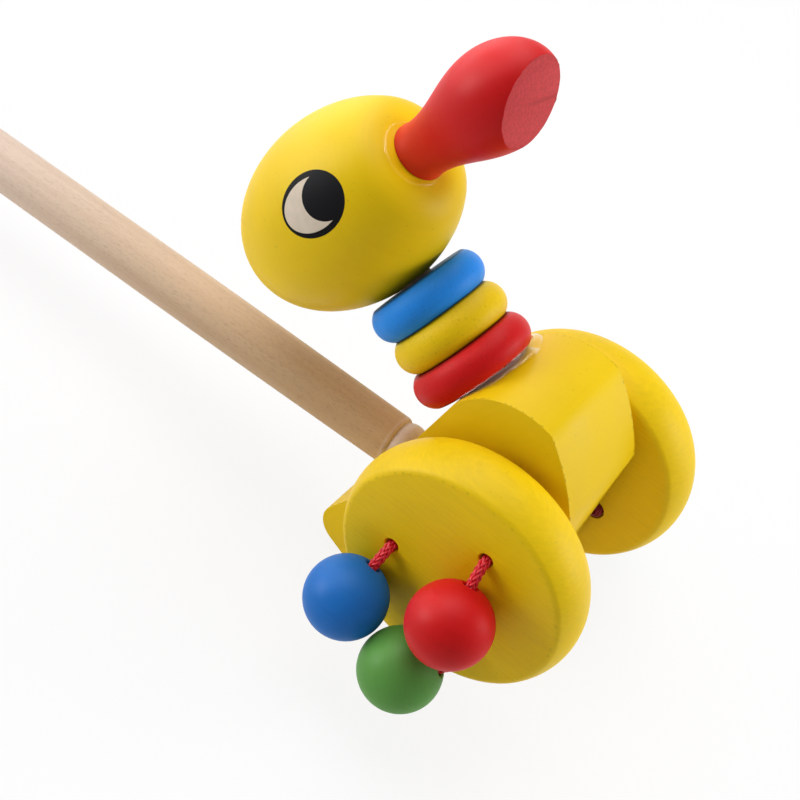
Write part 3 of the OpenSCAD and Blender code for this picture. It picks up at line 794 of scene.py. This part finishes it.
# %% Tools for finishes
class Finish:
    """A material under way, with its Principled shader; or the world, with its background."""

    def __init__(self, name, owner=None, **constants):
        self.material = owner or bpy.data.materials.new(name)
        self.material.use_nodes = True
        self.tree = self.material.node_tree
        self.shader, self.output = self.tree.nodes[:2]
        if self.shader.type.startswith("OUTPUT"):
            self.shader, self.output = self.output, self.shader
        self.set(**constants)

    def node(self, kind, settings=None, sockets=None, output=0):
        """Adds a node: first its settings, then the values or links of its sockets."""
        node = self.tree.nodes.new(kind)
        for key, value in (settings or {}).items():
            setattr(node, key, value)
        for key, value in (sockets or {}).items():
            self.feed(node.inputs[key], value)
        return Value(self, node.outputs[output])

    def feed(self, socket, value):
        if isinstance(value, Value):
            self.tree.links.new(value.socket, socket)
        else:
            socket.default_value = value

    def set(self, **sockets):
        """Feeds the shader's own sockets."""
        for name, value in sockets.items():
            self.feed(self.shader.inputs[name.replace("_", " ").title().replace("Ior", "IOR")], value)

    def white_background(self, keep):
        """Shows plain white to the camera, in mirrors and through glass; keep is the share that stays lit."""
        camera_ray, glossy_ray, glass_ray = (self.node("ShaderNodeLightPath", output=f"Is {kind} Ray")
                                             for kind in ("Camera", "Glossy", "Transmission"))
        white = self.node("ShaderNodeEmission", {}, {"Color": (1, 1, 1, 1), "Strength": 1.0})
        mixed = self.node("ShaderNodeMixShader", {}, {0: (1 - keep) * (camera_ray + glossy_ray + glass_ray),
                                                      1: Value(self, self.shader.outputs[0]), 2: white})
        self.feed(self.output.inputs["Surface"], mixed)

    def blend(self, factor, first, second, way="MIX"):
        """A colour between two."""
        return self.node("ShaderNodeMix", {"data_type": "RGBA", "blend_type": way},
                         {0: factor, 6: first, 7: second}, 2)

    def board(self, place):
        """Millimetres on a piece's own drawing board."""
        where = self.node("ShaderNodeTexCoord", output="Object")
        return self.node("ShaderNodeMapping", {"vector_type": "TEXTURE"},
                         {"Vector": where, "Location": place.translation, "Rotation": place.to_euler(),
                          "Scale": (MM, MM, MM)})

    def vector_maths(self, operation, first, second=(0, 0, 0), output=0):
        return self.node("ShaderNodeVectorMath", {"operation": operation}, {0: first, 1: second}, output)

    def stretched(self, vector, factors):
        return self.vector_maths("MULTIPLY", vector, factors)

    def part(self, vector, axis):
        """One coordinate of a vector."""
        return self.node("ShaderNodeSeparateXYZ", {}, {0: vector}, axis)

    def noise(self, vector, scale, detail=3.0, rough=0.55):
        """Even noise from 0 to 1; scale is in waves per millimetre on a drawing board."""
        return self.node("ShaderNodeTexNoise", {}, {"Vector": vector, "Scale": scale, "Detail": detail,
                                                    "Roughness": rough}, "Fac")

    def steps(self, value, low, high, to_low=0.0, to_high=1.0):
        """A value stretched from one span to another, and held there."""
        spans = {"Value": value, "From Min": low, "From Max": high, "To Min": to_low, "To Max": to_high}
        return self.node("ShaderNodeMapRange", {"clamp": True}, spans)

    def band(self, value, rise, full, fade, end):
        """1 where a value is between full and fade, and 0 below rise and above end."""
        return self.steps(value, rise, full) * self.steps(value, end, fade)

    def bump(self, height, depth):
        """Feeds the normal with a relief, its depth in millimetres."""
        self.set(normal=self.node("ShaderNodeBump", {}, {"Height": height, "Distance": depth * MM,
                                                         "Strength": 1.0}))


def coat(piece, *finishes):
    piece.data.materials.clear()
    for finish in finishes:
        piece.data.materials.append(finish.material)


print("finishing tools ready")

# %% [markdown]
# A used toy shows where it was rubbed. Each of these marks is a mask on the drawing board, from 0 to 1. It is
# noise, kept to the stretch of the piece that is worn. The paint takes a darker or a thinner colour there.
# Two masks also paint light and shade in. A dark band at both edges of each ring is painted shade where the
# rings meet. The orange at the beak's foot is partly thin paint and partly the yellow head's glow, painted
# in.

# %% Marks of use on the paint, with painted shade at the rings and a painted glow at the beak
# Where the turn of a wheel from its face to its rim is worn: distance from the axle, and height
RIM_WORN, RIM_WORN_ABOVE = (34.3, 34.7, 35.1, 35.5), (17.6, 18.1)
EDGE_WORN = (0.03, 0.12, 0.4, 0.7)
# Where the painted shade at each edge of a ring starts and where it is full, in millimetres from the edge
GAP_SHADE_FROM, GAP_SHADE_FULL = 0.6, 0.2
# Where the orange at the beak's foot, thin paint with a painted glow of the head, fades out and where it is
# full
THIN_AND_GLOW_TO, THIN_AND_GLOW_FROM = 16, 2


def worn_edge(finish, board):
    """Specks along the body's long edges, where the paint is rubbed through."""
    across = finish.part(board, "Y")
    inward = BODY_W / 2 - finish.node("ShaderNodeMath", {"operation": "ABSOLUTE"}, {0: across})
    specks = finish.steps(finish.noise(board, 0.8, 3.0, 0.6), 0.52, 0.60)
    return 0.6 * finish.band(inward, *EDGE_WORN) * specks


def worn_rim(finish, board):
    """Specks on the turn between the face and the rim of a wheel."""
    away = finish.vector_maths("LENGTH", finish.stretched(board, (1, 1, 0)), output="Value")
    near_face = finish.steps(finish.part(board, "Z"), *RIM_WORN_ABOVE)
    specks = finish.steps(finish.noise(board, 0.5, 4.0, 0.7), 0.53, 0.65)
    return 0.35 * finish.band(away, *RIM_WORN) * near_face * specks


def scuffs_and_gap_shade(finish, board):
    """Short fine scratches across the rim of a ring, and painted shade at its two edges, where the rings
    meet.
    """
    height = finish.part(board, "Z")
    # The bands at the bottom and top edge of each ring are painted shade for the gaps where the rings meet
    low_gap_shade = finish.steps(height, GAP_SHADE_FROM, GAP_SHADE_FULL)
    gap_shade = low_gap_shade + finish.steps(height, RING_T - GAP_SHADE_FROM, RING_T - GAP_SHADE_FULL)
    scratches = finish.noise(finish.stretched(board, (2.4, 2.4, 0.5)), 1.0, 2.0)
    return 0.85 * gap_shade + 0.3 * finish.steps(scratches, 0.58, 0.70)


def thin_paint_and_painted_glow(finish, board):
    """The first stretch of the beak, where the red is thin and looks orange, and the orange glow of the
    yellow head on it is painted in.
    """
    return finish.steps(finish.part(board, "Z"), THIN_AND_GLOW_TO, THIN_AND_GLOW_FROM)


def unmarked(finish, board):
    return 0.0


print("Marks: worn edges and rims, scuffs, and thin paint at the beak's foot")

# %% [markdown]
# The paint is a satin colour sprayed on bare wood. It is even, but the marks of the tool show through as
# fine lines: rings on what was turned, straight streaks where the wood was sawn or sanded. A few pores are
# darker. The beak's flat cut is rougher, so it looks paler, and one faint dark streak crosses it.

# %% Mix the satin paints
# How the marks of the lathe stretch: along X and Y of the drawing board, and up its axis
TURNED = (0.03, 0.03, 2.2)
PAINT_GLOSS = 0.13
YELLOW = (0.86, 0.58, 0.003, 1)
RED = (0.62, 0.007, 0.008, 1)
# The orange at the beak's foot: thin red paint, with the yellow head's glow painted in
ORANGE = (0.64, 0.035, 0.008, 1)
BLUE = (0.013, 0.158, 0.54, 1)
GREEN = (0.110, 0.315, 0.060, 1)
RING_BLUE = (0.020, 0.265, 0.85, 1)


def deeper(colour, share):
    return tuple(channel * share for channel in colour[:3]) + (1,)


def satin_paint(name, colour, place, lines=TURNED, line_depth=0.010, line_tone=0.06, rough=0.45,
                marked=unmarked, mark=None):
    finish = Finish(name, specular_ior_level=PAINT_GLOSS)
    board = finish.board(place)
    marks = finish.noise(finish.stretched(board, lines), 1.0, 4.0, 0.65)
    clouds = finish.noise(board, 0.045, 2.0)
    grain = finish.noise(board, 2.2, 3.0)
    pores = finish.steps(finish.noise(board, 1.0, 1.0, 0.4), 0.75, 0.80)
    tone = finish.steps(marks, 0.3, 0.7, -line_tone, line_tone) + finish.steps(clouds, 0.3, 0.7, -0.10, 0.10)
    base = finish.blend(0.5 + tone, deeper(colour, 0.86), deeper(colour, 1.12))
    base = finish.blend(0.35 * pores, base, deeper(colour, 0.5))
    finish.set(base_color=finish.blend(marked(finish, board), base, mark or deeper(colour, 0.4)))
    uneven = 0.08 * finish.steps(clouds, 0.3, 0.7, -1, 1)
    finish.set(roughness=rough + uneven + 0.05 * finish.steps(marks, 0.3, 0.7, -1, 1))
    finish.bump(marks + 0.35 * grain - 0.6 * pores, line_depth)
    return finish


def sawn_face(name, colour, place, streak_from, streak_to):
    """The painted end grain of a cut: rough, paler, with one dark streak."""
    finish = Finish(name, specular_ior_level=0.2)
    board = finish.board(place)
    grain = finish.noise(finish.stretched(board, (0.5, 1.4, 1.4)), 1.0, 5.0, 0.7)
    base = finish.blend(finish.steps(grain, 0.3, 0.7), deeper(colour, 0.8), deeper(colour, 1.2))
    from_start = finish.vector_maths("SUBTRACT", board, streak_from)
    along = (Vector(streak_to) - Vector(streak_from)).normalized()
    beside = finish.vector_maths("CROSS_PRODUCT", from_start, along)
    off_line = finish.vector_maths("LENGTH", beside, output="Value")
    run = finish.vector_maths("DOT_PRODUCT", from_start, along, "Value")
    streak = finish.steps(off_line, 0.8, 0.0) * finish.steps(run, 1.0, 6.0) * finish.steps(grain, 0.35, 0.6)
    finish.set(base_color=finish.blend(0.5 * streak, base, deeper(colour, 0.35)))
    finish.set(roughness=0.62 + 0.12 * grain)
    finish.bump(grain, 0.08)
    return finish


print("Paints for turned and sawn pieces are mixed")

# %% [markdown]
# Every piece gets its own coat, because the lines of the tool follow the piece: rings about the axis of what
# was turned, and long streaks along the grain of the body and across the faces of the wheels.

# %% Paint the pieces
SAWN_LINES, WHEEL_LINES = (0.06, 1.2, 1.2), (0.08, 1.8, 0.5)
CUT_RED = (0.60, 0.05, 0.055, 1)
STREAK_FROM, STREAK_TO = (5.2, -5.0, 40.3), (7.6, 9.4, 40.8)
SAME_WAY = 0.9999
coat(head, satin_paint("head_yellow", YELLOW, HEAD_PLACE, TURNED))
coat(body, satin_paint("body_yellow", YELLOW, DUCK, SAWN_LINES, marked=worn_edge))
for side, wheel in WHEELS.items():
    coat(wheel, satin_paint(f"wheel_yellow_{side}", YELLOW, wheel_frame(side), WHEEL_LINES, line_tone=0.20,
                            marked=worn_rim))
for paint, colour in (("red", RED), ("yellow", YELLOW), ("blue", RING_BLUE)):
    coat(RINGS[paint], satin_paint(f"ring_{paint}", colour, RING_PLACES[paint], TURNED, marked=scuffs_and_gap_shade))
for bead, ball in BEADS.items():
    colour = {"red": RED, "blue": BLUE, "green": GREEN}[bead.split("_")[1]]
    coat(ball, satin_paint(f"bead_{bead}", colour, BEAD_PLACES[bead], TURNED, line_depth=0.02, line_tone=0.14,
                           rough=0.47))
coat(beak, satin_paint("beak_red", RED, BEAK_PLACE, TURNED, marked=thin_paint_and_painted_glow, mark=ORANGE),
     sawn_face("beak_cut_red", CUT_RED, BEAK_PLACE, STREAK_FROM, STREAK_TO))
for face in beak.data.polygons:
    face.material_index = int(face.normal.dot(CUT_WAY) > SAME_WAY)
print("painted:", len(bpy.data.materials), "finishes so far")

# %% [markdown]
# The stick and the knob are bare beech, pale and a little pink, with long faint lines and the short dark
# flecks that beech is known for. Towards its foot the stick is more tanned. The dowels inside are birch. The
# one in the neck is coloured much darker: painted shade for the gap between the head and the blue ring.

# %% Show the bare wood
BEECH_PALE = (0.72, 0.58, 0.48, 1)
BEECH_DARK = (0.64, 0.48, 0.38, 1)
FOOT_TAN = (0.86, 0.72, 0.46, 1)
BIRCH = (0.70, 0.54, 0.34, 1)
WOOD_GLOSS = 0.2
# Distances along the stick between which its tan fades
TAN_FULL, TAN_END = 70, 230


def bare_wood(name, pale, dark, place, foot_tan=None):
    finish = Finish(name, specular_ior_level=WOOD_GLOSS)
    board = finish.board(place)
    years = finish.noise(finish.stretched(board, (0.35, 0.35, 0.006)), 1.0, 3.0)
    lines = finish.noise(finish.stretched(board, (2.6, 2.6, 0.03)), 1.0, 3.0)
    flecks = finish.steps(finish.noise(finish.stretched(board, (3.2, 3.2, 0.5)), 1.0, 2.0), 0.54, 0.68)
    wood = finish.blend(finish.steps(years, 0.3, 0.7), pale, dark)
    wood = finish.blend(0.25 * finish.steps(lines, 0.45, 0.75), wood, deeper(dark, 0.85))
    wood = finish.blend(0.4 * flecks, wood, deeper(dark, 0.62))
    if foot_tan:
        tan = finish.band(finish.part(board, "Z"), FOOT_END - 1, FOOT_END, TAN_FULL, TAN_END)
        wood = finish.blend(tan, wood, finish.blend(1.0, wood, foot_tan, "MULTIPLY"))
    finish.set(base_color=wood)
    finish.set(roughness=0.52 + 0.1 * lines)
    finish.bump(lines - 0.8 * flecks, 0.03)
    return finish


beech = bare_wood("beech", BEECH_PALE, BEECH_DARK, STICK_PLACE, FOOT_TAN)
coat(stick, beech)
coat(knob, beech)
# The neck dowel's dark colour is painted shade for the gap between the head and the blue ring
coat(frame["nodes"]["neck_dowel"], bare_wood("neck_birch_painted_shade", deeper(BIRCH, 0.3), deeper(BIRCH, 0.22), DUCK))
coat(frame["nodes"]["axle"], bare_wood("birch_axle", BIRCH, deeper(BIRCH, 0.85), wheel_frame("left")))
print("bare wood on the stick, the knob and the dowels")

# %% [markdown]
# The cord's yarn is a bright red with some gloss. Its UV map runs along each strand, so fine fibres can
# follow it. The knots take a much darker red, which is painted shade for their seats in the wheels. The eye's
# two inks are nearly flat. The glue is clear: it shows only at its edges, where it is seen at a slant and
# mirrors the room, so its alpha follows the angle of view.

# %% Dye the cords, mix the inks and clear the glue
CORD_RED = (0.78, 0.010, 0.026, 1)
EYE_BLACK = (0.004, 0.004, 0.005, 1)
EYE_CREAM = (0.74, 0.63, 0.50, 1)
INK_GLOSS = 0.07


def yarn(name, colour):
    finish = Finish(name, roughness=0.38, specular_ior_level=0.4)
    where = finish.node("ShaderNodeUVMap", {"uv_map": "yarn"})
    fibres = finish.noise(finish.stretched(where, (1.3, 0.5, 1.0)), 1.6, 3.0)
    pale_fibres = finish.steps(fibres, 0.3, 0.7)
    finish.set(base_color=finish.blend(pale_fibres, deeper(colour, 0.7), deeper(colour, 1.25)))
    finish.bump(fibres, 0.05)
    return finish


def ink(name, colour, rough):
    finish = Finish(name, specular_ior_level=INK_GLOSS)
    cloud = finish.noise(finish.board(HEAD_PLACE), 0.5, 4.0)
    pale_ink = finish.steps(cloud, 0.3, 0.7)
    finish.set(base_color=finish.blend(pale_ink, deeper(colour, 0.95), deeper(colour, 1.04)))
    finish.set(roughness=rough + 0.1 * cloud)
    return finish


clear_glue = Finish("clear_glue", base_color=(0.95, 0.93, 0.88, 1), metallic=1.0, roughness=0.1)
slant = clear_glue.steps(clear_glue.node("ShaderNodeLayerWeight", {}, {"Blend": 0.5}, "Facing"), 0.5, 1.0)
clear_glue.set(alpha=0.02 + 0.9 * slant * slant)
for drop in GLUE:
    coat(drop, clear_glue)
# The knots' darker red is painted shade for their place in the seats of the holes
red_yarn, knot_yarn_painted_shade = yarn("red_yarn", CORD_RED), yarn("knot_yarn_painted_shade", deeper(CORD_RED, 0.3))
for cord in CORDS.values():
    coat(cord, red_yarn)
for knots in KNOTS.values():
    coat(knots, knot_yarn_painted_shade)
black_ink, cream_ink = ink("eye_black_ink", EYE_BLACK, 0.45), ink("eye_cream_ink", EYE_CREAM, 0.5)
for eye in EYES:
    coat(eye, black_ink if "black" in eye.name else cream_ink)
print("cords dyed and eyes printed")

# %% [markdown]
# The light is plain: a wide soft lamp above and behind, a soft one at each side, and pale air all round, so
# that round pieces are brighter towards their edges. A wide card behind the toy shows in reflections alone,
# and gives the upper left of each painted piece its pale sheen. The floor is white. Seen by the camera it is
# mostly its own white, so that it stays paper-pale, but a share of it is lit and keeps the toy's shadow.

# %% Light, floor and air
FLOOR_WIDE = 8
LIT_SHARE = 0.15
AIR_STRENGTH = 0.22
bpy.ops.object.select_all(action="DESELECT")
bpy.ops.mesh.primitive_plane_add(size=FLOOR_WIDE)
floor = bpy.context.object
floor.name = "floor"
paper = Finish("white_floor", base_color=(0.9, 0.9, 0.9, 1), roughness=0.9)
paper.white_background(LIT_SHARE)
coat(floor, paper)

bpy.context.scene.world = bpy.data.worlds.new("air")
air = Finish("air", bpy.context.scene.world, color=(1, 1, 1, 1), strength=AIR_STRENGTH)
air.white_background(0)

LIT = Vector((-0.03, 0, 0.07))
# Place of each lamp, its width in metres and its power in watts
SOFT_LAMPS = {"lamp_above": ((-0.28, 0.20, 1.03), 1.0, 8.3), "lamp_left": ((-0.85, -0.5, 0.24), 0.45, 3.3),
              "lamp_right": ((0.74, 0.55, 0.36), 0.5, 4.8), "card_behind": ((-0.74, 0.05, 0.44), 1.6, 25)}
for name, (place, width, power) in SOFT_LAMPS.items():
    bpy.ops.object.light_add(type="AREA", location=place)
    lamp = bpy.context.object
    lamp.name = name
    lamp.rotation_euler = (LIT - lamp.location).to_track_quat("-Z", "Y").to_euler()
    lamp.data.shape = "DISK"
    lamp.data.size = width
    lamp.data.energy = power
    lamp.visible_camera = False
    lamp.visible_diffuse = not name.startswith("card")
bpy.context.scene.view_settings.view_transform = "Standard"
print("lit by", len(SOFT_LAMPS) - 1, "soft lamps, a card and pale air")
